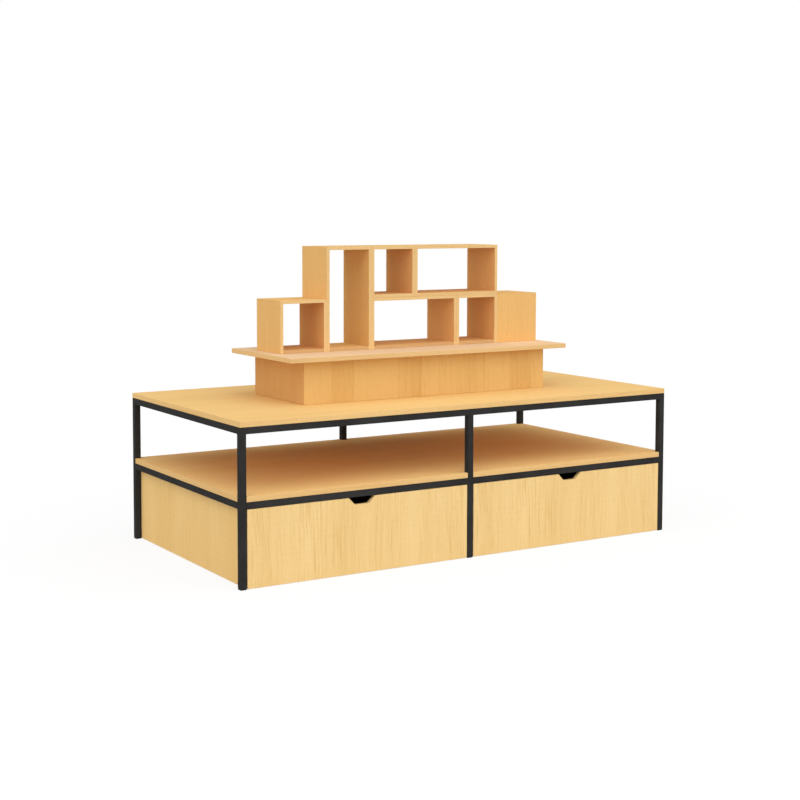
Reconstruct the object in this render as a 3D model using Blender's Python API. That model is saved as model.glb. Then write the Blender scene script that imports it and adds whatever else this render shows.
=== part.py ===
"""Shop display island: a steel-framed table with two drawers below and a stepped rack of boxes on top.

Metres, +Z up. +X runs along the length, and the drawers open towards -Y.
The origin is on the floor, under the middle of the table.
"""

import math

import bmesh
import bpy
from mathutils import Vector

# Steel frame, of square tube
LENGTH = 2.000
DEPTH = 1.000
FRAME_HEIGHT = 0.587
SHELF_RAIL_TOP = 0.317
TUBE = 0.025
TUBE_WALL = 0.0015
TUBE_CORNER = 0.003
CORNER_STEPS = 2

# Plastic feet pushed into the post ends
FOOT_HEIGHT = 0.004
FOOT_EDGE = 0.001
FOOT_SPIGOT = 0.020
FOOT_RIB = 0.002
FOOT_RIB_DEPTH = 0.001
FOOT_RIBS = 3

# Boards on the frame, and the cabinet boards between its posts
TOP_THICKNESS = 0.020
SHELF_THICKNESS = 0.020
SHELF_FIT = 0.0005
CABINET_BOARD = 0.018
PANEL_SETBACK = 0.003
FLOOR_CLEARANCE = 0.002

# Drawers
FRONT_THICKNESS = 0.018
FRONT_SETBACK = 0.0005
SIDE_REVEAL = 0.003
TOP_REVEAL = 0.0015
NOTCH_WIDTH = 0.060
NOTCH_DEPTH = 0.0275
NOTCH_SPREAD = 0.0275
DRAWER_BOARD = 0.015
DRAWER_SIDE_RISE = 0.025
DRAWER_SIDE_DROP = 0.045
DRAWER_BACK_SPACE = 0.235
DRAWER_BOTTOM = 0.009
GROOVE_RISE = 0.012
GROOVE_DEPTH = 0.007

# Drawer slides, each a channel on the cabinet and a channel on the drawer
SLIDE_SPACE = 0.0127
SLIDE_HEIGHT = 0.045
SLIDE_SHEET = 0.0012
SLIDE_LIP = 0.0025
SLIDE_PLAY = 0.0004
SLIDE_SETBACK = 0.003

# Plinth that lifts the rack, and the board on it
PLINTH_LENGTH = 1.162
PLINTH_DEPTH = 0.414
PLINTH_HEIGHT = 0.169
PLINTH_BOARD = 0.018
PLINTH_OVERHANG_ENDS = 0.0815
PLINTH_OVERHANG_SIDES = 0.050
PLINTH_TOP_THICKNESS = 0.019

# Rack of open boxes, on a grid of square cells
RACK_PITCH = 0.209
RACK_DEPTH = 0.204
RACK_BOARD = 0.013
RACK_OFFSET_X = 0.013
RACK_OFFSET_Y = 0.023
RACK_COLUMNS = 6

# Gap left between pieces that touch, and the rounding of board edges
SEAT = 0.0003
ARRIS = 0.001
ARRIS_STEPS = 2
SHARP = math.radians(30)

# Places worked out from the sizes above
POST_X = LENGTH / 2 - TUBE / 2
POST_Y = DEPTH / 2 - TUBE / 2
SHELF_RAIL_UNDER = SHELF_RAIL_TOP - TUBE
TOP_UNDER = FRAME_HEIGHT + SEAT
PLINTH_FOOT = TOP_UNDER + TOP_THICKNESS + SEAT
PLINTH_TOP_UNDER = PLINTH_FOOT + PLINTH_HEIGHT + SEAT
RACK_FOOT = PLINTH_TOP_UNDER + PLINTH_TOP_THICKNESS + SEAT

# Places inside the cabinet: its boards stand against the inner faces of the frame
CABINET_FRONT = -DEPTH / 2 + TUBE + SEAT
CABINET_BACK = DEPTH / 2 - TUBE - SEAT
CABINET_SIDE = LENGTH / 2 - TUBE - SEAT
BAY_BACK = CABINET_BACK - CABINET_BOARD
BAY_INNER = CABINET_BOARD / 2
BAY_OUTER = CABINET_SIDE - CABINET_BOARD

# Places on a drawer, shared by the left and the right one
FRONT_FACE = -DEPTH / 2 + FRONT_SETBACK
FRONT_BACK = FRONT_FACE + FRONT_THICKNESS
FRONT_TOP = SHELF_RAIL_UNDER - TOP_REVEAL
DRAWER_SIDE_UNDER = FLOOR_CLEARANCE + DRAWER_SIDE_RISE
DRAWER_SIDE_TOP = FRONT_TOP - DRAWER_SIDE_DROP
DRAWER_START = FRONT_BACK + SEAT
DRAWER_END = BAY_BACK - DRAWER_BACK_SPACE
DRAWER_BOTTOM_UNDER = DRAWER_SIDE_UNDER + GROOVE_RISE + SEAT
SLIDE_Z = (DRAWER_SIDE_UNDER + DRAWER_SIDE_TOP) / 2
SLIDE_START = CABINET_FRONT + SLIDE_SETBACK

# Turns that lay a shape drawn along Z along another axis, with its outline's Y upright
ALONG_X = (math.pi / 2, 0.0, math.pi / 2)
ALONG_Y = (math.pi / 2, 0.0, 0.0)
ALONG_Z = (0.0, 0.0, 0.0)


def clear_scene():
    """Remove whatever the scene holds."""
    for old in list(bpy.data.objects):
        bpy.data.objects.remove(old, do_unlink=True)


def finish(name, colour, roughness, metallic=0.0):
    """Return a plain material of one colour."""
    material = bpy.data.materials.new(name)
    material.use_nodes = True
    shader = material.node_tree.nodes["Principled BSDF"]
    shader.inputs["Base Color"].default_value = (*colour, 1.0)
    shader.inputs["Roughness"].default_value = roughness
    shader.inputs["Metallic"].default_value = metallic
    return material


def add_piece(name, bm, material, centre, turn=ALONG_Z, carrier=None):
    """Make a named object of a mesh, at a place in the world, carried by an empty if it moves."""
    bmesh.ops.recalc_face_normals(bm, faces=bm.faces)
    mesh = bpy.data.meshes.new(name)
    bm.to_mesh(mesh)
    bm.free()
    mesh.materials.append(material)
    mesh.shade_smooth()
    mesh.set_sharp_from_angle(angle=SHARP)
    piece = bpy.data.objects.new(name, mesh)
    piece.location = Vector(centre)
    piece.rotation_euler = turn
    if carrier:
        piece.parent = carrier
        piece.location -= carrier.location
    bpy.context.collection.objects.link(piece)
    return piece


def add_carrier(name, place):
    """Add the empty that carries the pieces of one drawer, on the line that it slides along."""
    carrier = bpy.data.objects.new(name, None)
    carrier.location = place
    bpy.context.collection.objects.link(carrier)
    return carrier


def round_edges(bm):
    """Round off the outward edges of a board and leave its inner corners sharp."""
    bmesh.ops.recalc_face_normals(bm, faces=bm.faces)
    edges = [edge for edge in bm.edges if edge.is_convex and edge.calc_face_angle() > SHARP]
    bmesh.ops.bevel(bm, geom=edges, offset=ARRIS, segments=ARRIS_STEPS, profile=0.5, affect="EDGES")


def raise_faces(bm, length):
    """Draw the faces of a flat shape out along Z, about the middle of the length."""
    drawn = bmesh.ops.extrude_face_region(bm, geom=list(bm.faces))
    raised = [item for item in drawn["geom"] if isinstance(item, bmesh.types.BMVert)]
    bmesh.ops.translate(bm, verts=raised, vec=(0, 0, length))
    bmesh.ops.translate(bm, verts=bm.verts, vec=(0, 0, -length / 2))


def prism(outline, length):
    """Return a solid with one outline, drawn out along Z."""
    bm = bmesh.new()
    bm.faces.new([bm.verts.new((x, y, 0)) for x, y in outline])
    raise_faces(bm, length)
    return bm


def hollow_prism(outer, inner, length):
    """Return an open tube between two outlines of as many points, drawn out along Z."""
    bm = bmesh.new()
    rims = [[bm.verts.new((x, y, 0)) for x, y in outline] for outline in (outer, inner)]
    for this in range(len(outer)):
        last = this - 1
        bm.faces.new((rims[0][last], rims[0][this], rims[1][this], rims[1][last]))
    raise_faces(bm, length)
    return bm


def loft(sections):
    """Return a closed solid through level outlines, each given with its height."""
    bm = bmesh.new()
    rims = [[bm.verts.new((x, y, height)) for x, y in outline] for height, outline in sections]
    for lower, upper in zip(rims, rims[1:]):
        for this in range(len(lower)):
            last = this - 1
            bm.faces.new((lower[last], lower[this], upper[this], upper[last]))
    bm.faces.new(reversed(rims[0]))
    bm.faces.new(rims[-1])
    return bm


def rectangle(width, height):
    """Return the corners of a rectangle about the origin."""
    x = width / 2
    y = height / 2
    return [(-x, -y), (x, -y), (x, y), (-x, y)]


def rounded_square(half, radius):
    """Return the outline of a square with round corners."""
    outline = []
    for quarter in range(4):
        middle = (quarter + 0.5) * math.pi / 2
        corner_x = math.copysign(half - radius, math.cos(middle))
        corner_y = math.copysign(half - radius, math.sin(middle))
        for step in range(CORNER_STEPS + 1):
            angle = (quarter + step / CORNER_STEPS) * math.pi / 2
            outline.append((corner_x + radius * math.cos(angle), corner_y + radius * math.sin(angle)))
    return outline


def board(name, low, high, material, carrier=None):
    """Add a board between two opposite corners."""
    low = Vector(low)
    high = Vector(high)
    size = high - low
    bm = prism(rectangle(size.x, size.y), size.z)
    round_edges(bm)
    return add_piece(name, bm, material, (low + high) / 2, carrier=carrier)


def tube(name, low, high, material):
    """Add a length of square tube between two points on its centre line."""
    low = Vector(low)
    high = Vector(high)
    run = high - low
    turn = ALONG_X if run.x else ALONG_Y if run.y else ALONG_Z
    outer = rounded_square(TUBE / 2, TUBE_CORNER)
    inner = rounded_square(TUBE / 2 - TUBE_WALL, TUBE_CORNER - TUBE_WALL)
    return add_piece(name, hollow_prism(outer, inner, run.length), material, (low + high) / 2, turn)


def build_posts(steel, plastic):
    """Stand six posts on ribbed feet: the corner ones reach the frame's top, the middle ones its rail."""
    corner_top = FRAME_HEIGHT
    middle_top = FRAME_HEIGHT - TUBE - SEAT
    columns = (("left", -POST_X, corner_top), ("middle", 0.0, middle_top), ("right", POST_X, corner_top))
    for side, y in (("front", -POST_Y), ("back", POST_Y)):
        for place, x, top in columns:
            tube(f"post_{side}_{place}", (x, y, FOOT_HEIGHT + SEAT), (x, y, top), steel)
            add_foot(f"foot_{side}_{place}", x, y, plastic)


def add_foot(name, x, y, plastic):
    """Add a foot: a rounded pad as wide as the post, with a ribbed spigot inside it."""
    pad = TUBE / 2
    rib = TUBE / 2 - TUBE_WALL - SEAT
    core = rib - FOOT_RIB_DEPTH
    corner = TUBE_CORNER - TUBE_WALL
    heights = [
        (0.0, pad - FOOT_EDGE, TUBE_CORNER),
        (FOOT_EDGE, pad, TUBE_CORNER),
        (FOOT_HEIGHT, pad, TUBE_CORNER),
        (FOOT_HEIGHT, core, corner),
    ]
    step = FOOT_SPIGOT / FOOT_RIBS
    for count in range(1, FOOT_RIBS + 1):
        rib_top = FOOT_HEIGHT + count * step
        rib_under = rib_top - FOOT_RIB
        heights += [(rib_under, core, corner), (rib_under, rib, corner), (rib_top, core, corner)]
    sections = [(height, rounded_square(half, radius)) for height, half, radius in heights]
    add_piece(name, loft(sections), plastic, (x, y, 0.0))


def build_rails(steel):
    """Join the posts with a ring under the table top and a ring under the shelf, each with a cross rail."""
    reach_x = LENGTH / 2 - TUBE - SEAT
    reach_y = DEPTH / 2 - TUBE - SEAT
    inner_x = TUBE / 2 + SEAT
    upper = FRAME_HEIGHT - TUBE / 2
    lower = SHELF_RAIL_TOP - TUBE / 2
    for side, y in (("front", -POST_Y), ("back", POST_Y)):
        tube(f"top_rail_{side}", (-reach_x, y, upper), (reach_x, y, upper), steel)
        tube(f"shelf_rail_{side}_left", (-reach_x, y, lower), (-inner_x, y, lower), steel)
        tube(f"shelf_rail_{side}_right", (inner_x, y, lower), (reach_x, y, lower), steel)
    for place, x in (("left", -POST_X), ("middle", 0.0), ("right", POST_X)):
        tube(f"top_rail_{place}", (x, -reach_y, upper), (x, reach_y, upper), steel)
        tube(f"shelf_rail_{place}", (x, -reach_y, lower), (x, reach_y, lower), steel)


def build_table_boards(veneer):
    """Lay the table top on the upper ring, and the shelf, notched round all six posts, on the lower one."""
    half = Vector((LENGTH / 2, DEPTH / 2, 0))
    board("table_top", (-half.x, -half.y, TOP_UNDER), (half.x, half.y, TOP_UNDER + TOP_THICKNESS), veneer)

    cut = TUBE + SHELF_FIT
    middle = TUBE / 2 + SHELF_FIT
    corner_cut = [(half.x, half.y - cut), (half.x - cut, half.y - cut), (half.x - cut, half.y)]
    middle_cut = [(middle, half.y), (middle, half.y - cut)]
    right_back = corner_cut + middle_cut
    left_back = [(-x, y) for x, y in reversed(right_back)]
    left_front = [(-x, -y) for x, y in right_back]
    right_front = [(x, -y) for x, y in reversed(right_back)]
    bm = prism(right_back + left_back + left_front + right_front, SHELF_THICKNESS)
    round_edges(bm)
    add_piece("display_shelf", bm, veneer, (0, 0, SHELF_RAIL_TOP + SEAT + SHELF_THICKNESS / 2))


def build_cabinet(veneer):
    """Hang the cabinet boards inside the frame: two ends cut round the back rail, a back and a divider."""
    under = FLOOR_CLEARANCE
    back_top = SHELF_RAIL_UNDER - SEAT
    panel_back = DEPTH / 2 - PANEL_SETBACK
    rail_cut = [(panel_back, back_top), (CABINET_BACK, back_top), (CABINET_BACK, SHELF_RAIL_TOP)]
    outline = [(CABINET_FRONT, under), (panel_back, under)] + rail_cut + [(CABINET_FRONT, SHELF_RAIL_TOP)]
    for place, side in (("left", -1), ("right", 1)):
        bm = prism(outline, CABINET_BOARD)
        round_edges(bm)
        middle = side * (BAY_OUTER + CABINET_SIDE) / 2
        add_piece(f"side_panel_{place}", bm, veneer, (middle, 0, 0), ALONG_X)
    back_half = BAY_OUTER - SEAT
    board("back_panel", (-back_half, BAY_BACK, under), (back_half, CABINET_BACK, back_top), veneer)
    divider_back = BAY_BACK - SEAT
    board("divider_panel", (-BAY_INNER, CABINET_FRONT, under), (BAY_INNER, divider_back, back_top), veneer)


def notched_front(width, height):
    """Return the outline of a drawer front, with a finger notch with sloping sides in its top edge."""
    x = width / 2
    y = height / 2
    floor = y - NOTCH_DEPTH
    inner = NOTCH_WIDTH / 2
    outer = inner + NOTCH_SPREAD
    notch = [(outer, y), (inner, floor), (-inner, floor), (-outer, y)]
    return [(-x, -y), (x, -y), (x, y)] + notch + [(-x, y)]


def grooved_side(side):
    """Return the outline of a drawer side, seen from the front, with the groove that holds the bottom."""
    outer = -side * DRAWER_BOARD / 2
    inner = -outer
    height = DRAWER_SIDE_TOP - DRAWER_SIDE_UNDER
    low = -height / 2
    groove_low = low + GROOVE_RISE
    groove_high = groove_low + DRAWER_BOTTOM + 2 * SEAT
    groove_floor = inner - side * GROOVE_DEPTH
    return [
        (outer, low),
        (inner, low),
        (inner, groove_low),
        (groove_floor, groove_low),
        (groove_floor, groove_high),
        (inner, groove_high),
        (inner, -low),
        (outer, -low),
    ]


def slide_outlines(side):
    """Return the cabinet channel and the drawer channel held in its lips, measured from the cabinet board."""
    mouth = SLIDE_SPACE - SEAT - SLIDE_SHEET - SLIDE_PLAY
    half = SLIDE_HEIGHT / 2
    inside = half - SLIDE_SHEET
    lip = inside - SLIDE_LIP
    cabinet_half = [
        (SEAT, half),
        (mouth, half),
        (mouth, lip),
        (mouth - SLIDE_SHEET, lip),
        (mouth - SLIDE_SHEET, inside),
        (SEAT + SLIDE_SHEET, inside),
    ]
    back = SLIDE_SPACE - SEAT
    neck = lip - SLIDE_PLAY
    flare = inside - SLIDE_PLAY
    shoulder = mouth - SLIDE_SHEET - SLIDE_PLAY
    drawer_half = [
        (back, neck),
        (shoulder, neck),
        (shoulder, flare),
        (shoulder - SLIDE_SHEET, flare),
        (shoulder - SLIDE_SHEET, neck - SLIDE_SHEET),
        (back - SLIDE_SHEET, neck - SLIDE_SHEET),
    ]
    outlines = []
    for half_outline in (cabinet_half, drawer_half):
        whole = half_outline + [(x, -y) for x, y in reversed(half_outline)]
        outlines.append([(side * x, y) for x, y in whole])
    return outlines


def build_drawer(place, outer_sign, veneer, plywood, zinc):
    """Build one drawer, its box and its slides, in the bay to one side of the divider."""
    bay = sorted((outer_sign * BAY_INNER, outer_sign * BAY_OUTER))
    opening = sorted((outer_sign * (TUBE / 2 + SIDE_REVEAL), outer_sign * (LENGTH / 2 - TUBE - SIDE_REVEAL)))
    box = (bay[0] + SLIDE_SPACE, bay[1] - SLIDE_SPACE)
    centre = (bay[0] + bay[1]) / 2
    drawer = f"drawer_{place}"
    carrier = add_carrier(f"{drawer}_carrier", (centre, FRONT_BACK, SLIDE_Z))

    width = opening[1] - opening[0]
    height = FRONT_TOP - FLOOR_CLEARANCE
    front = prism(notched_front(width, height), FRONT_THICKNESS)
    round_edges(front)
    front_centre = (sum(opening) / 2, (FRONT_FACE + FRONT_BACK) / 2, (FRONT_TOP + FLOOR_CLEARANCE) / 2)
    add_piece(f"{drawer}_front", front, veneer, front_centre, ALONG_Y, carrier)

    run = DRAWER_END - DRAWER_START
    run_centre = (DRAWER_START + DRAWER_END) / 2
    side_z = (DRAWER_SIDE_UNDER + DRAWER_SIDE_TOP) / 2
    for hand, side, face in (("left", 1, box[0]), ("right", -1, box[1])):
        side_centre = (face + side * DRAWER_BOARD / 2, run_centre, side_z)
        shape = prism(grooved_side(side), run)
        add_piece(f"{drawer}_side_{hand}", shape, plywood, side_centre, ALONG_Y, carrier)

    inner = (box[0] + DRAWER_BOARD, box[1] - DRAWER_BOARD)
    hold = GROOVE_DEPTH - SEAT
    bottom_top = DRAWER_BOTTOM_UNDER + DRAWER_BOTTOM
    bottom_low = (inner[0] - hold, DRAWER_START, DRAWER_BOTTOM_UNDER)
    bottom_high = (inner[1] + hold, DRAWER_END, bottom_top)
    board(f"{drawer}_bottom", bottom_low, bottom_high, plywood, carrier)
    back_low = (inner[0] + SEAT, DRAWER_END - DRAWER_BOARD, bottom_top + SEAT)
    back_high = (inner[1] - SEAT, DRAWER_END, DRAWER_SIDE_TOP)
    board(f"{drawer}_back", back_low, back_high, plywood, carrier)

    slide_run = DRAWER_END - SLIDE_START
    slide_y = (SLIDE_START + DRAWER_END) / 2
    for hand, side, face in (("left", 1, bay[0]), ("right", -1, bay[1])):
        cabinet, moving = slide_outlines(side)
        slide_centre = (face, slide_y, SLIDE_Z)
        add_piece(f"{drawer}_cabinet_slide_{hand}", prism(cabinet, slide_run), zinc, slide_centre, ALONG_Y)
        add_piece(f"{drawer}_slide_{hand}", prism(moving, slide_run), zinc, slide_centre, ALONG_Y, carrier)


def build_plinth(veneer):
    """Stand four mitred boards on the table top, and lay the rack's board on them."""
    z = PLINTH_FOOT + PLINTH_HEIGHT / 2
    runs = (
        ("front", PLINTH_LENGTH, PLINTH_DEPTH, 0.0),
        ("right", PLINTH_DEPTH, PLINTH_LENGTH, math.pi / 2),
        ("back", PLINTH_LENGTH, PLINTH_DEPTH, math.pi),
        ("left", PLINTH_DEPTH, PLINTH_LENGTH, -math.pi / 2),
    )
    for place, run, across, turn in runs:
        outer = run / 2 - SEAT / 2
        inner = outer - PLINTH_BOARD
        face = -across / 2
        inner_face = face + PLINTH_BOARD
        bm = prism([(-outer, face), (outer, face), (inner, inner_face), (-inner, inner_face)], PLINTH_HEIGHT)
        round_edges(bm)
        add_piece(f"plinth_{place}", bm, veneer, (0, 0, z), (0, 0, turn))
    half_x = PLINTH_LENGTH / 2 + PLINTH_OVERHANG_ENDS
    half_y = PLINTH_DEPTH / 2 + PLINTH_OVERHANG_SIDES
    top = PLINTH_TOP_UNDER + PLINTH_TOP_THICKNESS
    board("plinth_top", (-half_x, -half_y, PLINTH_TOP_UNDER), (half_x, half_y, top), veneer)


def rack_box(name, cell, cells, material, turned=False):
    """Add one open box of the rack, a number of cells wide and tall, open front to back or end to end."""
    column, row = cell
    wide, tall = cells
    width = wide * RACK_PITCH - SEAT
    height = tall * RACK_PITCH - SEAT
    left = RACK_OFFSET_X - RACK_COLUMNS * RACK_PITCH / 2
    middle_x = left + (column + wide / 2) * RACK_PITCH
    middle_z = RACK_FOOT + row * RACK_PITCH + height / 2
    if turned:
        across, run, turn = RACK_DEPTH, width, ALONG_X
    else:
        across, run, turn = width, RACK_DEPTH, ALONG_Y
    inside = rectangle(across - 2 * RACK_BOARD, height - 2 * RACK_BOARD)
    bm = hollow_prism(rectangle(across, height), inside, run)
    round_edges(bm)
    add_piece(name, bm, material, (middle_x, RACK_OFFSET_Y, middle_z), turn)


def build_rack(veneer):
    """Stack seven loose boxes into a stepped rack."""
    rack_box("rack_box_lower_left", (0, 0), (1, 1), veneer)
    rack_box("rack_box_tall", (1, 0), (1, 2), veneer)
    rack_box("rack_box_lower_wide", (2, 0), (2, 1), veneer)
    rack_box("rack_box_lower_small", (4, 0), (1, 1), veneer)
    rack_box("rack_box_turned", (5, 0), (1, 1), veneer, turned=True)
    rack_box("rack_box_upper_small", (2, 1), (1, 1), veneer)
    rack_box("rack_box_upper_wide", (3, 1), (2, 1), veneer)


def build():
    """Build the whole island, from the floor up."""
    clear_scene()
    steel = finish("black_steel", (0.022, 0.022, 0.024), 0.45)
    plastic = finish("black_plastic", (0.015, 0.015, 0.015), 0.6)
    veneer = finish("beech_veneer", (0.83, 0.58, 0.25), 0.45)
    rack_veneer = finish("rack_veneer", (0.74, 0.43, 0.14), 0.45)
    plywood = finish("birch_plywood", (0.72, 0.56, 0.36), 0.6)
    zinc = finish("zinc_slide", (0.62, 0.63, 0.65), 0.35, 1.0)
    build_posts(steel, plastic)
    build_rails(steel)
    build_cabinet(veneer)
    build_drawer("left", -1, veneer, plywood, zinc)
    build_drawer("right", 1, veneer, plywood, zinc)
    build_table_boards(veneer)
    build_plinth(rack_veneer)
    build_rack(rack_veneer)


build()
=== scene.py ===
"""Looks of a shop display island: a black steel frame, veneered boards, two drawers and a stepped rack.

Metres, +Z up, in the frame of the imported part. The drawers open towards -Y.
"""

import math
import random

import bmesh
import bpy
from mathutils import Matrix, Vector


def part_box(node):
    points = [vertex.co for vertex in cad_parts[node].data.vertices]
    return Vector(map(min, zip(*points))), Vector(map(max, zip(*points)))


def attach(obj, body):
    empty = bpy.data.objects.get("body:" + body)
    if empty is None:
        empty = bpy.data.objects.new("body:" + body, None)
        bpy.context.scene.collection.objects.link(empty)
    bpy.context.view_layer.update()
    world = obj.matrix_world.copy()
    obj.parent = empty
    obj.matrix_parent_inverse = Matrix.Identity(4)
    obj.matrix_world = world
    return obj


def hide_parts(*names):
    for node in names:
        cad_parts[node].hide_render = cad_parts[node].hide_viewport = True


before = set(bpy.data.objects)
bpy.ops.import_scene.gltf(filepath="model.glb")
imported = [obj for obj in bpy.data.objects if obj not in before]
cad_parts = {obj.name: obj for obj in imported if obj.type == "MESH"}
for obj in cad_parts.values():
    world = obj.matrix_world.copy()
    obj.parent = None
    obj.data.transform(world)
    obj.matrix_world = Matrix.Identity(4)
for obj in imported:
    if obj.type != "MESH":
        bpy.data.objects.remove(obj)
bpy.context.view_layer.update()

# Camera
# The photograph's view: in front and to the left of the island, 1.3 m above the floor.
# The picture is square, and its lens axis meets it a little above and to the left of the middle.
PICTURE = 800
EYE = (-3.2811, -5.1284, 1.3392)
EYE_TURN = -30.572
EYE_DIP = 4.098
FOCAL_PIXELS = 1463.5
AXIS_PIXEL = (350, 320)
SENSOR = 36

camera_data = bpy.data.cameras.new("camera")
camera_data.sensor_width = SENSOR
camera_data.lens = FOCAL_PIXELS * SENSOR / PICTURE
camera_data.shift_x = 0.5 - AXIS_PIXEL[0] / PICTURE
camera_data.shift_y = AXIS_PIXEL[1] / PICTURE - 0.5
camera = bpy.data.objects.new("camera", camera_data)
camera.location = EYE
camera.rotation_euler = (math.radians(90 - EYE_DIP), 0, math.radians(EYE_TURN))
bpy.context.scene.collection.objects.link(camera)
bpy.context.scene.camera = camera
bpy.context.scene.view_settings.view_transform = "Standard"

# Studio
# A white floor under an even sky, with soft light high in front of the island and some from the left.
# Behind the island only the sky's foot and crown are light. A camera or a glossy surface sees plain white,
# and the floor keeps a faint shadow.
SKY_LEVEL = 1.0
SKY_BACK = -3.8
SKY_FOOT = (0.07, 0.25)
SKY_LEFT = 0.62
SKY_FRONT = 1.88
SKY_FRONT_RISE = 1.5
WHITE = (1.0, 1.0, 1.0, 1.0)
FLOOR_SIZE = 80.0
FLOOR_BOUNCE = 0.48
FLOOR_GLOW = 0.85


def add_node(tree, kind, inputs=(), **settings):
    """Add a node to a tree, with its settings, and with values or links on its inputs."""
    made = tree.nodes.new(kind)
    for name, value in settings.items():
        setattr(made, name, value)
    for name, value in dict(inputs).items():
        if isinstance(value, bpy.types.NodeSocket):
            tree.links.new(value, made.inputs[name])
        else:
            made.inputs[name].default_value = value
    return made


def reckon(tree, operation, *values):
    """Add a Math node on these values and return its result."""
    return add_node(tree, "ShaderNodeMath", enumerate(values), operation=operation).outputs[0]


def seen_rays(tree):
    """Return 1 for the rays that show what is behind the island: from the camera, a reflection or glass."""
    path = add_node(tree, "ShaderNodeLightPath").outputs
    seen = reckon(tree, "MAXIMUM", path["Is Camera Ray"], path["Is Glossy Ray"])
    return reckon(tree, "MAXIMUM", seen, path["Is Transmission Ray"])


world = bpy.data.worlds.new("studio")
world.use_nodes = True
bpy.context.scene.world = world
sky = world.node_tree
way = add_node(sky, "ShaderNodeTexCoord").outputs["Generated"]
way = add_node(sky, "ShaderNodeSeparateXYZ", {"Vector": way}).outputs
above = reckon(sky, "MAXIMUM", way["Z"], 0.0)
behind = reckon(sky, "MAXIMUM", way["Y"], 0.0)
before = reckon(sky, "MAXIMUM", reckon(sky, "MULTIPLY", way["Y"], -1.0), 0.0)
beside = reckon(sky, "MAXIMUM", reckon(sky, "MULTIPLY", way["X"], -1.0), 0.0)
past_foot = {"Value": above, "From Min": SKY_FOOT[0], "From Max": SKY_FOOT[1]}
past_foot = add_node(sky, "ShaderNodeMapRange", past_foot, interpolation_type="SMOOTHSTEP").outputs[0]
dim = reckon(sky, "MULTIPLY", behind, reckon(sky, "SUBTRACT", 1.0, above))
dim = reckon(sky, "MULTIPLY", dim, past_foot)
level = reckon(sky, "MULTIPLY_ADD", dim, SKY_BACK, SKY_LEVEL)
level = reckon(sky, "MAXIMUM", level, 0.0)
level = reckon(sky, "MULTIPLY_ADD", reckon(sky, "MULTIPLY", beside, beside), SKY_LEFT, level)
high_before = reckon(sky, "MULTIPLY", before, reckon(sky, "POWER", above, SKY_FRONT_RISE))
level = reckon(sky, "MULTIPLY_ADD", high_before, SKY_FRONT, level)
level = add_node(sky, "ShaderNodeMix", {"Factor": seen_rays(sky), "A": level, "B": 1.0}).outputs[0]
sky.links.new(level, sky.nodes["Background"].inputs["Strength"])
sky.nodes["Background"].inputs["Color"].default_value = WHITE

floor_paint = bpy.data.materials.new("floor_paint")
floor_paint.use_nodes = True
paint = floor_paint.node_tree
paint.nodes.clear()
seen = seen_rays(paint)
bounce = add_node(paint, "ShaderNodeMix", {"Factor": seen, "A": FLOOR_BOUNCE, "B": 1.0}).outputs[0]
matt = add_node(paint, "ShaderNodeBsdfDiffuse", {"Color": bounce}).outputs[0]
glow = add_node(paint, "ShaderNodeEmission").outputs[0]
share = reckon(paint, "MULTIPLY", seen, FLOOR_GLOW)
mixed = add_node(paint, "ShaderNodeMixShader", {0: share, 1: matt, 2: glow}).outputs[0]
add_node(paint, "ShaderNodeOutputMaterial", {"Surface": mixed})

floor_mesh = bpy.data.meshes.new("floor")
half = FLOOR_SIZE / 2
floor_corners = [(-half, -half, 0), (half, -half, 0), (half, half, 0), (-half, half, 0)]
floor_mesh.from_pydata(floor_corners, [], [range(len(floor_corners))])
floor_mesh.materials.append(floor_paint)
floor = bpy.data.objects.new("floor", floor_mesh)
bpy.context.scene.collection.objects.link(floor)

# Steel frame
# Six posts and two rings of rails, of 25 mm square steel tube with tight corners.
# The tubes are butt-welded, ground flush outside, and powder-coated dull black as one frame.
COAT_BLACK = (0.0312, 0.0303, 0.0290, 1.0)
COAT_GREY = (0.0408, 0.0396, 0.0379, 1.0)
COAT_GLOSS = 0.01
COAT_ROUGHNESS = (0.5, 0.64)
COAT_PEEL = 0.0011
COAT_RELIEF = 0.25
PATCHES_PER_METRE = 9.0
PATCH_RANGE = (0.35, 0.65)
NOISE_RANGE = (0.3, 0.7)
RELIEF_HEIGHT = 0.0001
JOINT_GAP = 0.0003
ROLLED_CORNER = 0.003
TIGHT_CORNER = 0.0012
SHARP = math.radians(50)
FLAT = math.radians(1)
MERGE = 1e-5
SIDES = ("front", "back")
PLACES = ("left", "middle", "right")
HANDS = {"left": -1, "right": 1}
POSTS = [f"post_{side}_{place}" for side in SIDES for place in PLACES]
TOP_RAILS = [f"top_rail_{place}" for place in SIDES + PLACES]
SHELF_RAILS = [f"shelf_rail_{side}_{hand}" for side in SIDES for hand in HANDS]
SHELF_RAILS += [f"shelf_rail_{place}" for place in PLACES]


def noise(tree, place, stretch, detail):
    """Return a noise from 0 to 1 over a place, whose three directions are stretched by these factors."""
    scaled = add_node(tree, "ShaderNodeVectorMath", {0: place, 1: stretch}, operation="MULTIPLY").outputs[0]
    grains = {"Vector": scaled, "Scale": 1.0, "Detail": detail}
    return add_node(tree, "ShaderNodeTexNoise", grains).outputs[0]


def spread(tree, value, low, high, low_out=0.0, high_out=1.0):
    """Return a value between two limits, drawn out to two others."""
    limits = {"Value": value, "From Min": low, "From Max": high, "To Min": low_out, "To Max": high_out}
    return add_node(tree, "ShaderNodeMapRange", limits).outputs[0]


def blend_colours(tree, share, first, second):
    """Return a colour between two others."""
    mix = add_node(tree, "ShaderNodeMix", data_type="RGBA")
    tree.links.new(share, mix.inputs["Factor"])
    for name, colour in (("A", first), ("B", second)):
        socket = next(socket for socket in mix.inputs if socket.name == name and socket.enabled)
        if isinstance(colour, bpy.types.NodeSocket):
            tree.links.new(colour, socket)
        else:
            socket.default_value = colour
    return next(socket for socket in mix.outputs if socket.enabled)


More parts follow.
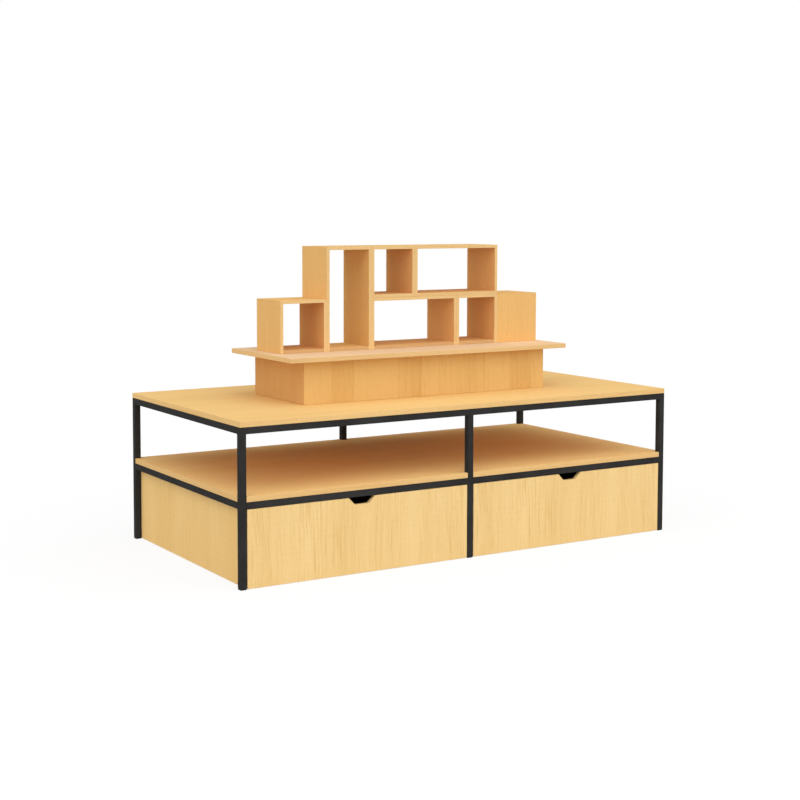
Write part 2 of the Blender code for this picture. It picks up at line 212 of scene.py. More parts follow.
def new_finish(name, **sockets):
    """Start a material, and return it with its tree and its shader, on which plain values are set."""
    material = bpy.data.materials.new(name)
    material.use_nodes = True
    shader = material.node_tree.nodes["Principled BSDF"]
    for socket, value in sockets.items():
        shader.inputs[socket.replace("_", " ")].default_value = value
    return material, material.node_tree, shader


def end_finish(tree, shader, colour, relief, strength, roughness=None):
    """Link a colour, a relief of this strength and, where it varies, a roughness to a shader."""
    tree.links.new(colour, shader.inputs["Base Color"])
    if roughness:
        tree.links.new(roughness, shader.inputs["Roughness"])
    bump = {"Strength": strength, "Distance": RELIEF_HEIGHT, "Height": relief}
    tree.links.new(add_node(tree, "ShaderNodeBump", bump).outputs[0], shader.inputs["Normal"])


def powder_coat(name):
    """Return dull black powder coat, with the fine orange peel that it sets in."""
    material, tree, shader = new_finish(name, Specular_IOR_Level=COAT_GLOSS)
    place = add_node(tree, "ShaderNodeTexCoord").outputs["Object"]
    peel = noise(tree, place, (1 / COAT_PEEL,) * 3, detail=1.0)
    patches = noise(tree, place, (PATCHES_PER_METRE,) * 3, detail=2.0)
    colour = blend_colours(tree, spread(tree, patches, *PATCH_RANGE), COAT_BLACK, COAT_GREY)
    roughness = spread(tree, patches, *NOISE_RANGE, *COAT_ROUGHNESS)
    end_finish(tree, shader, colour, peel, COAT_RELIEF, roughness)
    return material


def clean_copy(node):
    """Return a node's shape as one merged mesh, without the edges that cross its flat faces."""
    bm = bmesh.new()
    bm.from_mesh(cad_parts[node].data)
    bmesh.ops.remove_doubles(bm, verts=bm.verts, dist=MERGE)
    bmesh.ops.dissolve_limit(bm, angle_limit=FLAT, verts=bm.verts, edges=bm.edges)
    return bm


def add_piece(name, bm, *materials):
    """Add a piece, smooth over its rounded edges and even on its flat faces."""
    mesh = bpy.data.meshes.new(name)
    bm.to_mesh(mesh)
    bm.free()
    for material in materials:
        mesh.materials.append(material)
    mesh.shade_smooth()
    mesh.set_sharp_from_angle(angle=SHARP)
    piece = bpy.data.objects.new(name, mesh)
    bpy.context.scene.collection.objects.link(piece)
    even = piece.modifiers.new("even_normals", "WEIGHTED_NORMAL")
    even.keep_sharp = True
    return piece


def settle(piece, body, slot, *nodes):
    """Let a piece ride on a body and stand for nodes of the frame, which it hides. The slot is not used."""
    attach(piece, body)
    if nodes:
        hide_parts(*nodes)


def tighten_corners(tube, middle, half, axis):
    """Draw the outer corners of a tube that runs along an axis out from a rolled radius to a tight one."""
    across = [other for other in range(3) if other != axis]
    for vertex in tube.verts:
        offsets = [vertex.co[other] - middle[other] for other in across]
        bends = [abs(offset) - (half[other] - ROLLED_CORNER) for offset, other in zip(offsets, across)]
        if abs(math.hypot(*bends) - ROLLED_CORNER) < MERGE:
            for offset, bend, other in zip(offsets, bends, across):
                reach = half[other] - TIGHT_CORNER + bend * TIGHT_CORNER / ROLLED_CORNER
                vertex.co[other] = middle[other] + math.copysign(reach, offset)


black_coat = powder_coat("black_powder_coat")
for node in POSTS + TOP_RAILS + SHELF_RAILS:
    tube = clean_copy(node)
    low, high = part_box(node)
    middle = (low + high) / 2
    axis = max(range(3), key=(high - low).__getitem__)
    tighten_corners(tube, middle, (high - low) / 2, axis)
    if node not in POSTS:
        for vertex in tube.verts:
            vertex.co[axis] += math.copysign(JOINT_GAP, vertex.co[axis] - middle[axis])
    settle(add_piece(f"coated_{node}", tube, black_coat), "table", "black_steel", node)

# Welds
# Beads in the corners under the rails, where the tubes meet and a grinder doesn't reach.
# They were laid before the frame was coated, so they are as black as the tubes.
LENGTHWISE = 0
FRONT_TO_BACK = 1
BEAD_RADIUS = 0.0019
BEAD_PITCH = 0.0017
BEAD_RIPPLE = 0.13
BEAD_TAPER = 0.12
BEAD_TIP = 0.5
BEAD_STEP = 0.0004
BEAD_SIDES = 8
BEAD_INSET = 0.0035
REACH = 0.001


def geometry_tree(name, *sizes):
    """Start a tree of geometry nodes on a mesh, these sizes and a finish, and return it with its inputs."""
    tree = bpy.data.node_groups.new(name, "GeometryNodeTree")
    tree.interface.new_socket("Geometry", in_out="OUTPUT", socket_type="NodeSocketGeometry")
    tree.interface.new_socket("Geometry", in_out="INPUT", socket_type="NodeSocketGeometry")
    for size in sizes:
        tree.interface.new_socket(size, in_out="INPUT", socket_type="NodeSocketFloat")
    tree.interface.new_socket("Finish", in_out="INPUT", socket_type="NodeSocketMaterial")
    return tree, add_node(tree, "NodeGroupInput").outputs


def end_tree(tree, given, grown):
    """End a tree: what it grew becomes plain geometry with the given finish."""
    plain = add_node(tree, "GeometryNodeRealizeInstances", {"Geometry": grown}).outputs[0]
    coated = {"Geometry": plain, "Material": given["Finish"]}
    coated = add_node(tree, "GeometryNodeSetMaterial", coated).outputs[0]
    add_node(tree, "NodeGroupOutput", {"Geometry": coated})


def grow(name, tree, seed_mesh, inputs):
    """Run a tree on a mesh with these inputs, and return a piece with the plain mesh that it makes."""
    piece = bpy.data.objects.new(name, seed_mesh)
    bpy.context.scene.collection.objects.link(piece)
    growth = piece.modifiers.new("growth", "NODES")
    growth.node_group = tree
    for socket in tree.interface.items_tree:
        if socket.in_out == "INPUT" and socket.name in inputs:
            growth[socket.identifier] = inputs[socket.name]
    grown = bpy.data.meshes.new_from_object(piece.evaluated_get(bpy.context.evaluated_depsgraph_get()))
    piece.modifiers.remove(growth)
    piece.data = grown
    grown.materials.clear()
    grown.materials.append(inputs["Finish"])
    grown.shade_smooth()
    grown.set_sharp_from_angle(angle=SHARP)
    return piece


def bead_tree():
    """Return a tree that lays a rippled bead, thinner at its ends, along each edge of a mesh."""
    tree, given = geometry_tree("weld_bead", "Radius", "Pitch", "Ripple", "Taper")
    seam = add_node(tree, "GeometryNodeMeshToCurve", {"Mesh": given["Geometry"]}).outputs[0]
    steps = {"Curve": seam, "Length": BEAD_STEP}
    seam = add_node(tree, "GeometryNodeResampleCurve", steps, mode="LENGTH").outputs[0]
    place = add_node(tree, "GeometryNodeSplineParameter").outputs
    ripples = reckon(tree, "DIVIDE", place["Length"], given["Pitch"])
    wave = reckon(tree, "SINE", reckon(tree, "MULTIPLY", ripples, math.tau))
    swell = reckon(tree, "MULTIPLY_ADD", wave, given["Ripple"], 1.0)
    inward = reckon(tree, "PINGPONG", place["Factor"], 0.5)
    swell = reckon(tree, "MULTIPLY", swell, spread(tree, inward, 0.0, given["Taper"], BEAD_TIP, 1.0))
    ring = {"Resolution": BEAD_SIDES, "Radius": given["Radius"]}
    ring = add_node(tree, "GeometryNodeCurvePrimitiveCircle", ring).outputs[0]
    bead = {"Curve": seam, "Profile Curve": ring, "Scale": swell, "Fill Caps": True}
    end_tree(tree, given, add_node(tree, "GeometryNodeCurveToMesh", bead).outputs[0])
    return tree


def corner_seams(rail, post, axis):
    """Return the two ends of each seam under a rail along an axis, where it meets a post's faces."""
    low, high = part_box(rail)
    across = 1 - axis
    found = []
    for face in (corner[axis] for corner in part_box(post)):
        if low[axis] - REACH < face < high[axis] + REACH:
            ends = [low.copy(), low.copy()]
            for end, place in zip(ends, (low[across] + BEAD_INSET, high[across] - BEAD_INSET)):
                end[axis] = face
                end[across] = place
            found.append(ends)
    return found


seams = []
for side in SIDES:
    for place in PLACES:
        seams += corner_seams(f"top_rail_{side}", f"post_{side}_{place}", LENGTHWISE)
    for hand in HANDS:
        seams += corner_seams(f"top_rail_{hand}", f"post_{side}_{hand}", FRONT_TO_BACK)
        seams += corner_seams(f"shelf_rail_{hand}", f"post_{side}_{hand}", FRONT_TO_BACK)
for hand in HANDS:
    seams += corner_seams(f"shelf_rail_back_{hand}", "post_back_middle", LENGTHWISE)
seam_mesh = bpy.data.meshes.new("weld_seams")
seam_edges = [(2 * number, 2 * number + 1) for number in range(len(seams))]
seam_mesh.from_pydata([end for ends in seams for end in ends], seam_edges, [])
bead_inputs = {"Radius": BEAD_RADIUS, "Pitch": BEAD_PITCH, "Ripple": BEAD_RIPPLE, "Taper": BEAD_TAPER}
beads = grow("weld_beads", bead_tree(), seam_mesh, bead_inputs | {"Finish": black_coat})
settle(beads, "table", "black_steel")

# Feet
# A moulded black plastic plug in the end of each post, whose pad keeps the cut steel off the floor.
# It is pushed in, and its ribs hold it.
PLASTIC_BLACK = (0.010, 0.010, 0.010, 1.0)
PLASTIC_WORN = (0.030, 0.029, 0.028, 1.0)
PLASTIC_GLOSS = 0.35
PLASTIC_ROUGHNESS = (0.55, 0.75)
PLASTIC_RELIEF = 0.2
SCUFFS_PER_METRE = (260.0, 260.0, 90.0)
SCUFF_RANGE = (0.5, 0.75)
GRIT_PER_METRE = 2400.0


def moulded_plastic(name):
    """Return matt black plastic, scuffed grey in places."""
    material, tree, shader = new_finish(name, Specular_IOR_Level=PLASTIC_GLOSS)
    place = add_node(tree, "ShaderNodeTexCoord").outputs["Object"]
    scuffs = noise(tree, place, SCUFFS_PER_METRE, detail=4.0)
    grit = noise(tree, place, (GRIT_PER_METRE,) * 3, detail=1.0)
    colour = blend_colours(tree, spread(tree, scuffs, *SCUFF_RANGE), PLASTIC_BLACK, PLASTIC_WORN)
    roughness = spread(tree, scuffs, *NOISE_RANGE, *PLASTIC_ROUGHNESS)
    end_finish(tree, shader, colour, grit, PLASTIC_RELIEF, roughness)
    return material


black_plastic = moulded_plastic("black_moulded_plastic")
for side in SIDES:
    for place in PLACES:
        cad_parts[f"foot_{side}_{place}"].material_slots[0].material = black_plastic

# Cabinet boards
# Two end panels, a back and a divider of veneered board, standing inside the lower half of the frame.
# The grain of their pale veneer runs upright, and every edge is lipped with the same veneer.
GRAIN_SEED = 5
BOARD_NUMBERS = 40.0
UPRIGHT = 2
FACE, EDGE = 0, 1
VENEER_GLOSS = 0.1
VENEER_ROUGHNESS = (0.7, 0.84)
VENEER_RELIEF = 0.2
LINE_WIDTH = 0.0055
LINE_LENGTH = 0.21
LINE_DEPTH = 1.05
LINE_RANGE = (0.48, 0.68)
BAND = (0.11, 1.5)
BAND_RANGE = (0.4, 0.58)
BAND_LEAST = 0.15
CLOUD = (0.16, 1.1)
CLOUD_TONE = (0.08, 0.5)
WANDER = (0.33, 0.6)
WANDER_REACH = 0.05
FIBRE = (0.0015, 0.08)
FIBRE_RANGE = (0.25, 0.75)
FIBRE_TONE = 0.18
STREAK = (0.008, 0.5)
STREAK_LEAF = 2.0
STREAK_RANGE = (0.5, 0.7)
STREAK_TONE = 0.32
PORE = (0.0007, 0.024)
PORE_RANGE = (0.66, 0.78)
PORE_TONE = 0.35
PORE_SHADE = 0.6
STAVE_TONE = 0.42
STAVE_JOINT = 0.012


def srgb(red, green, blue):
    """Return a colour that is written in the usual steps of 0 to 255."""
    steps = [step / 255 for step in (red, green, blue)]
    return (*[((step + 0.055) / 1.055) ** 2.4 if step > 0.04045 else step / 12.92 for step in steps], 1.0)


def lay_grain(bm, faces, run, number):
    """Give each corner of one board its place across and along the grain, and the board's number.

    Each place is measured from the board's own corner. Broad faces and edges get their own finish.
    """
    layer = bm.loops.layers.float_vector.get("grain") or bm.loops.layers.float_vector.new("grain")
    points = [vertex.co for face in faces for vertex in face.verts]
    corner = [min(point[axis] for point in points) for axis in range(3)]
    size = [max(point[axis] for point in points) - corner[axis] for axis in range(3)]
    thin = size.index(min(size))
    for face in faces:
        side = max(range(3), key=lambda axis: abs(face.normal[axis]))
        along = max((axis for axis in range(3) if axis != side), key=lambda axis: (axis == run, size[axis]))
        across = 3 - side - along
        face.material_index = FACE if side == thin else EDGE
        for loop in face.loops:
            place = loop.vert.co
            loop[layer] = (place[across] - corner[across], place[along] - corner[along], number + side)


def figure(tree, place, size, detail, leaf=1.0):
    """Return a noise over the grain, of this width and length. Another leaf gives another pattern."""
    return noise(tree, place, (1 / size[0], 1 / size[1], leaf), detail)


def stave_tones(tree, place, width):
    """Return the tones of staves of about this width, each its own, with dark joints between them."""
    parts = add_node(tree, "ShaderNodeSeparateXYZ", {"Vector": place}).outputs
    board = reckon(tree, "MULTIPLY", parts["Z"], BOARD_NUMBERS)
    staves = {"W": reckon(tree, "MULTIPLY_ADD", parts["X"], 1 / width, board), "Scale": 1.0}
    tone = add_node(tree, "ShaderNodeTexVoronoi", staves, voronoi_dimensions="1D").outputs["Color"]
    tone = add_node(tree, "ShaderNodeSeparateColor", {"Color": tone}).outputs[0]
    tone = spread(tree, tone, 0.0, 1.0, -STAVE_TONE, STAVE_TONE)
    joint = {"voronoi_dimensions": "1D", "feature": "DISTANCE_TO_EDGE"}
    joint = add_node(tree, "ShaderNodeTexVoronoi", staves, **joint).outputs["Distance"]
    return reckon(tree, "ADD", tone, spread(tree, joint, 0.0, STAVE_JOINT, 1.0, 0.0))


def veneer(name, pale, deep, line=LINE_WIDTH, length=LINE_LENGTH, depth=LINE_DEPTH, stave=0.0):
    """Return lacquered veneer, in one leaf or in staves of about a given width.

    It has dark grain lines in loose bands that wander, pale streaks, fine fibres and small pores.
    """
    material, tree, shader = new_finish(name, Specular_IOR_Level=VENEER_GLOSS)
    flat = add_node(tree, "ShaderNodeAttribute", attribute_name="grain").outputs["Vector"]
    wander = figure(tree, flat, WANDER, detail=2.0)
    wander = spread(tree, wander, 0.0, 1.0, -WANDER_REACH, WANDER_REACH)
    sway = add_node(tree, "ShaderNodeCombineXYZ", {"X": wander}).outputs[0]
    place = add_node(tree, "ShaderNodeVectorMath", {0: flat, 1: sway}, operation="ADD").outputs[0]
    lines = spread(tree, figure(tree, place, (line, length), detail=2.0), *LINE_RANGE)
    bands = figure(tree, place, BAND, detail=1.0)
    bands = spread(tree, bands, *BAND_RANGE, BAND_LEAST * depth, depth)
    clouds = spread(tree, figure(tree, place, CLOUD, detail=1.0), *NOISE_RANGE, *CLOUD_TONE)
    fibres = figure(tree, place, FIBRE, detail=2.0)
    pores = spread(tree, figure(tree, place, PORE, detail=0.0), *PORE_RANGE, 0.0, PORE_TONE)
    streaks = figure(tree, place, STREAK, detail=2.0, leaf=STREAK_LEAF)
    tone = reckon(tree, "MULTIPLY_ADD", lines, bands, clouds)
    tone = reckon(tree, "SUBTRACT", tone, spread(tree, streaks, *STREAK_RANGE, 0.0, STREAK_TONE))
    tone = reckon(tree, "ADD", tone, spread(tree, fibres, *FIBRE_RANGE, -FIBRE_TONE, FIBRE_TONE))
    if stave:
        tone = reckon(tree, "ADD", tone, stave_tones(tree, flat, stave))
    colour = blend_colours(tree, spread(tree, tone, 0.0, 1.0), pale, deep)
    colour = blend_colours(tree, pores, colour, (*[PORE_SHADE * part for part in deep[:3]], 1.0))
    roughness = spread(tree, fibres, *NOISE_RANGE, *VENEER_ROUGHNESS)
    relief = reckon(tree, "SUBTRACT", fibres, pores)
    end_finish(tree, shader, colour, relief, VENEER_RELIEF, roughness)
    return material


def dress_board(node, run, body, slot, *materials, number=None):
    """Stand a clean, veneered board in for a node, with its own grain or that of a given number."""
    bm = clean_copy(node)
    own = draw.uniform(0, BOARD_NUMBERS)
    lay_grain(bm, bm.faces[:], run, own if number is None else number)
    piece = add_piece(f"veneered_{node}", bm, *materials)
    settle(piece, body, slot, node)
    return piece


draw = random.Random(GRAIN_SEED)
pale_face = veneer("pale_veneer", srgb(251, 216, 151), srgb(237, 196, 128))
pale_edge = veneer("pale_lipping", srgb(248, 211, 146), srgb(240, 198, 130))
end_face = veneer("end_veneer", srgb(253, 213, 143), srgb(243, 197, 122), depth=0.4)
for hand in HANDS:
    dress_board(f"side_panel_{hand}", UPRIGHT, "table", "beech_veneer", end_face, pale_edge)
for node in ("back_panel", "divider_panel"):
    dress_board(node, UPRIGHT, "table", "beech_veneer", pale_face, pale_edge)

# Drawers
# Each is a veneered front with a sloped finger notch, on a box of birch plywood with a grooved-in bottom.
# The box runs on a pair of zinc-plated slides: a channel on the drawer hooks into one on the cabinet.
FRONT_LEAF = 8.0
PLY = 0.0014
PLY_GLOSS = 0.25
PLY_ROUGHNESS = 0.62
PLY_RELIEF = 0.3
PLY_FIBRES_PER_METRE = (400.0, 160.0, 1.0)
PLY_FIBRE_TONE = 1.2
PLY_DEEPEST = 1.2
ZINC_DULL = (0.56, 0.57, 0.58, 1.0)
ZINC_BRIGHT = (0.74, 0.75, 0.75, 1.0)
ZINC_ROUGHNESS = (0.28, 0.46)
ZINC_RELIEF = 0.15
BRUSH_PER_METRE = (900.0, 6.0, 900.0)
CLOUDS_PER_METRE = (60.0, 25.0, 60.0)


def ply_edge(name, pale, deep):
    """Return the edge of plywood: thin plies in turn along and across the grain."""
    material, tree, shader = new_finish(name, Roughness=PLY_ROUGHNESS, Specular_IOR_Level=PLY_GLOSS)
    place = add_node(tree, "ShaderNodeAttribute", attribute_name="grain").outputs["Vector"]
    across = add_node(tree, "ShaderNodeSeparateXYZ", {"Vector": place}).outputs["X"]
    plies = reckon(tree, "SINE", reckon(tree, "MULTIPLY", across, math.pi / PLY))
    fibres = noise(tree, place, PLY_FIBRES_PER_METRE, detail=2.0)
    tone = reckon(tree, "MULTIPLY_ADD", fibres, PLY_FIBRE_TONE, plies)
    colour = blend_colours(tree, spread(tree, tone, 0.0, PLY_DEEPEST), pale, deep)
    end_finish(tree, shader, colour, tone, PLY_RELIEF)
    return material


def zinc_plate(name):
    """Return bright zinc plate, brushed along the channel and slightly clouded."""
    material, tree, shader = new_finish(name, Metallic=1.0)
    place = add_node(tree, "ShaderNodeTexCoord").outputs["Object"]
    brush = noise(tree, place, BRUSH_PER_METRE, detail=2.0)
    clouds = noise(tree, place, CLOUDS_PER_METRE, detail=2.0)
    colour = blend_colours(tree, clouds, ZINC_DULL, ZINC_BRIGHT)
    roughness = spread(tree, brush, *NOISE_RANGE, *ZINC_ROUGHNESS)
    end_finish(tree, shader, colour, brush, ZINC_RELIEF, roughness)
    return material


birch_face = veneer("birch_face", srgb(236, 214, 172), srgb(222, 194, 146), line=0.03, length=0.3, depth=0.4)
birch_plies = ply_edge("birch_plies", srgb(232, 206, 158), srgb(186, 146, 96))
zinc = zinc_plate("zinc_plate")
for hand in HANDS:
    drawer = f"drawer_{hand}"
    dress_board(f"{drawer}_front", UPRIGHT, drawer, "beech_veneer", pale_face, pale_edge, number=FRONT_LEAF)
    for board in ("side_left", "side_right", "back", "bottom"):
        run = FRONT_TO_BACK if board.startswith("side") else LENGTHWISE
        dress_board(f"{drawer}_{board}", run, drawer, "birch_plywood", birch_face, birch_plies)
    for channel in ("slide_left", "slide_right", "cabinet_slide_left", "cabinet_slide_right"):
        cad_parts[f"{drawer}_{channel}"].material_slots[0].material = zinc

# Display shelf
# One veneered board laid on the lower ring and notched round the posts, flush with the frame.
# Its veneer is warmer than the cabinet's, and runs lengthwise. Its lipping carries painted shade, darker than
# the face so that the lit front edge looks no brighter than the shelf.
shelf_tints = srgb(253, 211, 141), srgb(247, 201, 127)
shelf_face = veneer("shelf_veneer", *shelf_tints, line=0.009, length=0.6, depth=0.9)
# The lipping is painted darker than the face, as shade.
shelf_edge_and_shade = veneer("shelf_lipping_and_shade", srgb(238, 196, 132), srgb(231, 184, 117))
dress_board("display_shelf", LENGTHWISE, "table", "beech_veneer", shelf_face, shelf_edge_and_shade)

# Table top
# One veneered board on the upper ring, flush with the frame, with its grain lengthwise.
# Its figure is fainter than on the fronts, and a backing veneer lines its underside, whose deeper tone is
# painted shade that darkens the light it throws onto the shelf below.
BACKING_AND_SHADE = 2
DOWNWARD = -0.5
TOP_FIGURE = {"line": 0.012, "length": 0.6, "depth": 0.6}
top_face = veneer("top_veneer", srgb(242, 202, 133), srgb(235, 192, 122), **TOP_FIGURE)
top_edge = veneer("top_lipping", srgb(244, 202, 136), srgb(234, 188, 120))
top_backing_and_shade = veneer("top_backing_and_shade", srgb(240, 182, 96), srgb(226, 165, 80), **TOP_FIGURE)
table_top = dress_board("table_top", LENGTHWISE, "table", "beech_veneer", top_face, top_edge, top_backing_and_shade)
for face in table_top.data.polygons:
    # The underside takes the backing, whose deeper tone is painted shade.
    if face.normal.z < DOWNWARD:
        face.material_index = BACKING_AND_SHADE

# Screws
# Pan-head screws with a cross recess: black ones up through the rails into the shelf and the table top,
# and zinc-plated ones that hold the slides' channels to the cabinet and to the drawers.
HEAD_RADIUS = 0.0042
HEAD_HEIGHT = 0.0020
SLOT_LENGTH = 0.0048
SLOT_WIDTH = 0.0010
SLOT_DEPTH = 0.0011
HEAD_SEGMENTS = 20
HEAD_RINGS = 10
CUT_WIDTH = 3.0
SCREW_SEED = 3
FLOAT_LEAST, FLOAT_MOST, FLOAT_VALUE = 2, 3, 1
DOWN = (0, 0, -1)
SHEET = 0.0012
LENGTHWISE_SCREWS = (0.25, 0.75)
CROSSWISE_SCREWS = (-0.25, 0.25)
SLIDE_END_SCREW = 0.037


def screw_tree():
    """Return a tree that sets a domed head with a cross recess on each point, turned by chance.

    The attribute "facing" of a point says which way its head faces.
    """
    recess = ("Slot length", "Slot width", "Slot depth")
    tree, given = geometry_tree("pan_head_screw", "Radius", "Height", *recess)
    ball = {"Segments": HEAD_SEGMENTS, "Rings": HEAD_RINGS, "Radius": 1.0}
    ball = add_node(tree, "GeometryNodeMeshUVSphere", ball).outputs[0]
    sizes = {"X": given["Radius"], "Y": given["Radius"], "Z": given["Height"]}
    sizes = add_node(tree, "ShaderNodeCombineXYZ", sizes).outputs[0]
    dome = add_node(tree, "GeometryNodeTransform", {"Geometry": ball, "Scale": sizes}).outputs[0]
    head = add_node(tree, "GeometryNodeMeshBoolean", {"Mesh 1": dome}, operation="DIFFERENCE", solver="EXACT")
    wide = reckon(tree, "MULTIPLY", given["Radius"], CUT_WIDTH)
    twice_high = reckon(tree, "ADD", given["Height"], given["Height"])
    twice_deep = reckon(tree, "ADD", given["Slot depth"], given["Slot depth"])
    below = reckon(tree, "MULTIPLY", given["Height"], -1.0)
    cuts = [((wide, wide, twice_high), below)]
    cuts.append(((given["Slot length"], given["Slot width"], twice_deep), given["Height"]))
    cuts.append(((given["Slot width"], given["Slot length"], twice_deep), given["Height"]))
    for size, height in cuts:
        size = add_node(tree, "ShaderNodeCombineXYZ", zip("XYZ", size)).outputs[0]
        block = add_node(tree, "GeometryNodeMeshCube", {"Size": size}).outputs[0]
        lift = add_node(tree, "ShaderNodeCombineXYZ", {"Z": height}).outputs[0]
        block = add_node(tree, "GeometryNodeTransform", {"Geometry": block, "Translation": lift}).outputs[0]
        tree.links.new(block, head.inputs["Mesh 2"])
    facing = add_node(tree, "GeometryNodeInputNamedAttribute", {"Name": "facing"}, data_type="FLOAT_VECTOR")
    aligned = {"Vector": facing.outputs[0]}
    aligned = add_node(tree, "FunctionNodeAlignRotationToVector", aligned, axis="Z").outputs[0]
    angle = {FLOAT_LEAST: 0.0, FLOAT_MOST: math.tau, "Seed": SCREW_SEED}
    angle = add_node(tree, "FunctionNodeRandomValue", angle, data_type="FLOAT").outputs[FLOAT_VALUE]
    turn = add_node(tree, "FunctionNodeAxisAngleToRotation", {"Axis": (0, 0, 1), "Angle": angle}).outputs[0]
    turned = {"Rotation": aligned, "Rotate By": turn}
    turned = add_node(tree, "FunctionNodeRotateRotation", turned, rotation_space="LOCAL").outputs[0]
    heads = {"Points": given["Geometry"], "Instance": head.outputs[0], "Rotation": turned}
    end_tree(tree, given, add_node(tree, "GeometryNodeInstanceOnPoints", heads).outputs[0])
    return tree


def drive_screws(name, spots, finish, body, slot):
    """Set a screw head on each spot, a point with the way that the head faces."""
    mesh = bpy.data.meshes.new(f"{name}_spots")
    mesh.from_pydata([point for point, facing in spots], [], [])
    facings = mesh.attributes.new("facing", "FLOAT_VECTOR", "POINT")
    facings.data.foreach_set("vector", [part for point, facing in spots for part in facing])
    head = {"Radius": HEAD_RADIUS, "Height": HEAD_HEIGHT, "Finish": finish}
    recess = {"Slot length": SLOT_LENGTH, "Slot width": SLOT_WIDTH, "Slot depth": SLOT_DEPTH}
    settle(grow(name, pan_head, mesh, head | recess), body, slot)


def rail_spots(rail, axis, places):
    """Return spots under a rail, at these places along an axis."""
    low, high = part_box(rail)
    spots = []
    for place in places:
        point = (low + high) / 2
        point[axis] = place
        point.z = low.z
        spots.append((point, DOWN))
    return spots


def slide_spots(channel, facing):
    """Return three spots on the web of a channel, on the face that looks along X this way."""
    low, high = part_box(channel)
    web = low.x + SHEET if facing > 0 else high.x - SHEET
    height = (low.z + high.z) / 2
    places = (low.y + SLIDE_END_SCREW, (low.y + high.y) / 2, high.y - SLIDE_END_SCREW)
    return [((web, place, height), (facing, 0, 0)) for place in places]


pan_head = screw_tree()
board_spots = []
hand_places = {hand: [way * place for place in LENGTHWISE_SCREWS] for hand, way in HANDS.items()}
for side in SIDES:
    for places in hand_places.values():
        board_spots += rail_spots(f"top_rail_{side}", LENGTHWISE, places)
for hand, places in hand_places.items():
    board_spots += rail_spots(f"shelf_rail_back_{hand}", LENGTHWISE, places)
for rail in ("top_rail_left", "top_rail_middle", "top_rail_right", "shelf_rail_left", "shelf_rail_right"):
    board_spots += rail_spots(rail, FRONT_TO_BACK, CROSSWISE_SCREWS)
drive_screws("board_screws", board_spots, black_coat, "table", "black_steel")
cabinet_spots = []
for hand in HANDS:
    drawer_spots = []
    for end, outward in HANDS.items():
        cabinet_spots += slide_spots(f"drawer_{hand}_cabinet_slide_{end}", -outward)
        drawer_spots += slide_spots(f"drawer_{hand}_slide_{end}", outward)
    drive_screws(f"drawer_{hand}_slide_screws", drawer_spots, zinc, f"drawer_{hand}", "zinc_steel")
drive_screws("cabinet_slide_screws", cabinet_spots, zinc, "table", "zinc_steel")

# Plinth
# Four boards mitred into a ring on the table top: honey-coloured staves in front and behind, plain ends.
# A wider, paler board lies on them and carries the rack.
plinth_tints = srgb(227, 185, 117), srgb(214, 168, 99)
plinth_face = veneer("plinth_veneer", *plinth_tints, line=0.012, depth=0.55, stave=0.11)
plinth_end = veneer("plinth_end_veneer", srgb(217, 168, 106), srgb(207, 154, 92), line=0.012, depth=0.35)
slab_tints = srgb(240, 206, 166), srgb(231, 194, 150)
slab_face = veneer("slab_veneer", *slab_tints, line=0.009, length=0.4, depth=0.6)
slab_edge = veneer("slab_lipping", srgb(233, 196, 139), srgb(224, 183, 125))
for side in SIDES:
    dress_board(f"plinth_{side}", UPRIGHT, "table", "rack_veneer", plinth_face, plinth_face)
for hand in HANDS:
    dress_board(f"plinth_{hand}", UPRIGHT, "table", "rack_veneer", plinth_end, plinth_end)
dress_board("plinth_top", LENGTHWISE, "table", "rack_veneer", slab_face, slab_edge)

# Rack
# Seven open boxes, each of four thin boards, stacked side by side, with the grain running round each box.
# The corners are mitred, but in the lower row the bottom boards are glued in between the sides,
# which reach the plinth.
RACK_WALL = 0.013
RACK_ARRIS = 0.0006
ARRIS_STEPS = 2
SHADED_INSIDE, SHADED_FOOT = 2, 3
BOXES = ("lower_left", "tall", "lower_wide", "lower_small", "turned", "upper_small", "upper_wide")
rack_face = veneer("rack_veneer_face", srgb(236, 189, 120), srgb(225, 175, 105), depth=0.4)
rack_edge = veneer("rack_lipping", srgb(237, 200, 140), srgb(229, 188, 126))
# A darker, redder veneer inside the boxes: painted shade in their hollows.
rack_inside_shade = veneer("rack_inner_painted_shade", srgb(231, 176, 111), srgb(220, 162, 97), depth=0.5)
# The lower row's bottom boards get a deeper edge tone: painted shade where the rack meets the plinth.
shaded_foot_edge = veneer("rack_foot_painted_shade", srgb(214, 172, 120), srgb(206, 162, 108))
rack_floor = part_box("rack_box_lower_left")[0].z


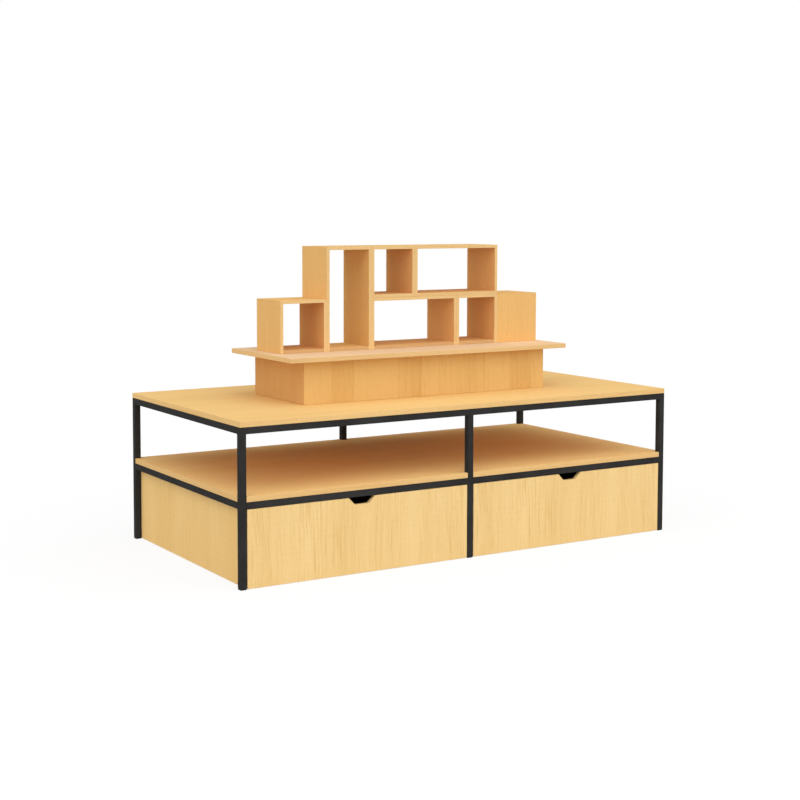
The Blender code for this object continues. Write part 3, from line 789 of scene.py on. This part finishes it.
def box_board(bm, corners, axis, low, high, run, foot):
    """Add one board of a box: two outer and two inner corners across an axis, drawn out along that axis."""
    others = set(bm.faces)
    wide = (axis + 1) % 3, (axis + 2) % 3
    rims = []
    for end in (low, high):
        rim = []
        for corner in corners:
            point = Vector((0, 0, 0))
            point[axis] = end
            for plane, value in zip(wide, corner):
                point[plane] = value
            rim.append(bm.verts.new(point))
        rims.append(rim)
    faces = [bm.faces.new(rims[0]), bm.faces.new(reversed(rims[1]))]
    for this in range(len(corners)):
        last = this - 1
        faces.append(bm.faces.new((rims[0][this], rims[0][last], rims[1][last], rims[1][this])))
    bmesh.ops.recalc_face_normals(bm, faces=faces)
    edges = list({edge for face in faces for edge in face.edges})
    bmesh.ops.bevel(bm, geom=edges, offset=RACK_ARRIS, segments=ARRIS_STEPS, profile=0.5, affect="EDGES")
    bm.normal_update()
    board = [face for face in bm.faces if face not in others]
    lay_grain(bm, board, run, draw.uniform(0, BOARD_NUMBERS))
    inward = Vector(corners[2]) - Vector(corners[1]) + Vector(corners[3]) - Vector(corners[0])
    for face in board:
        facing = face.normal[wide[0]] * inward[0] + face.normal[wide[1]] * inward[1]
        # Faces that look into the box take the painted shade.
        if face.material_index == FACE and facing > 0:
            face.material_index = SHADED_INSIDE
        # A bottom board of the lower row takes the painted shade on its edges.
        elif face.material_index == EDGE and foot:
            face.material_index = SHADED_FOOT


def inset(corner, centre):
    """Return a corner of a box, moved in by the thickness of its boards."""
    return [value - math.copysign(RACK_WALL, value - middle) for value, middle in zip(corner, centre)]


for label in BOXES:
    low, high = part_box(f"rack_box_{label}")
    axis = LENGTHWISE if label == "turned" else FRONT_TO_BACK
    wide = (axis + 1) % 3, (axis + 2) % 3
    outer = [(low[wide[0]], low[wide[1]]), (high[wide[0]], low[wide[1]])]
    outer += [(high[wide[0]], high[wide[1]]), (low[wide[0]], high[wide[1]])]
    centre = [(low[plane] + high[plane]) / 2 for plane in wide]
    inner = [inset(corner, centre) for corner in outer]
    up = wide.index(UPRIGHT)
    seat = [list(corner) for corner in inner]
    for corner, below in zip(seat, outer):
        if abs(below[up] - rack_floor) < MERGE:
            corner[up] = rack_floor
    box = bmesh.new()
    for this in range(len(outer)):
        last = this - 1
        run = wide[1] if abs(outer[this][0] - outer[last][0]) < MERGE else wide[0]
        foot = all(abs(outer[end][up] - rack_floor) < MERGE for end in (last, this))
        if foot:
            corners = (seat[last], seat[this], inner[this], inner[last])
        else:
            corners = (outer[last], outer[this], seat[this], seat[last])
        box_board(box, corners, axis, low[axis], high[axis], run, foot)
    # All boxes but the tall one carry the painted shade inside.
    inside = rack_face if label == "tall" else rack_inside_shade
    piece = add_piece(f"mitred_rack_box_{label}", box, rack_face, rack_edge, inside, shaded_foot_edge)
    settle(piece, "table", "rack_veneer", f"rack_box_{label}")
